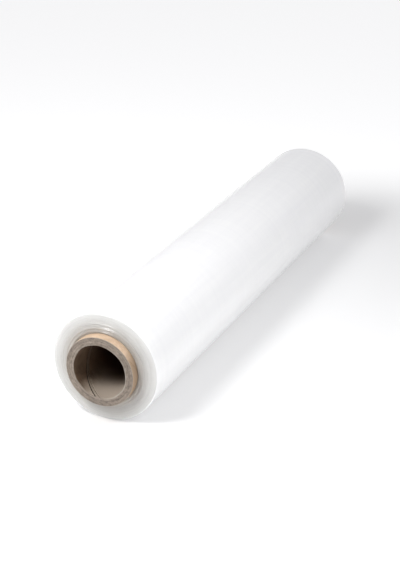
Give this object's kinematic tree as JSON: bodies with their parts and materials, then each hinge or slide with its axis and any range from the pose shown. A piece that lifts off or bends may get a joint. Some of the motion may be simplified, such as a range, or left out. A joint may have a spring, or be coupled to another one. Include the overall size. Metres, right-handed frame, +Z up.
{
  "type": "stretch wrap roll",
  "caption": "Hand roll of clear stretch film for wrapping pallets and parcels, wound on a spiral-wound cardboard core with an open bore.",
  "frame": {"origin": "on the floor, under the middle of the roll's length and width", "axes": "+Y along the roll's axis towards its far end, +Z up, flat spot of the winding on Z = 0"},
  "size_m": [0.101, 0.518, 0.1008],
  "materials": {
    "film": "clear film wound into a milky translucent roll, glossy on the side and frosted on the ends",
    "cardboard": "grey-brown core board with a tan kraft outer ply"
  },
  "bodies": {
    "root": {"film_winding": "film", "cardboard_core": "cardboard"}
  },
  "joints": []
}
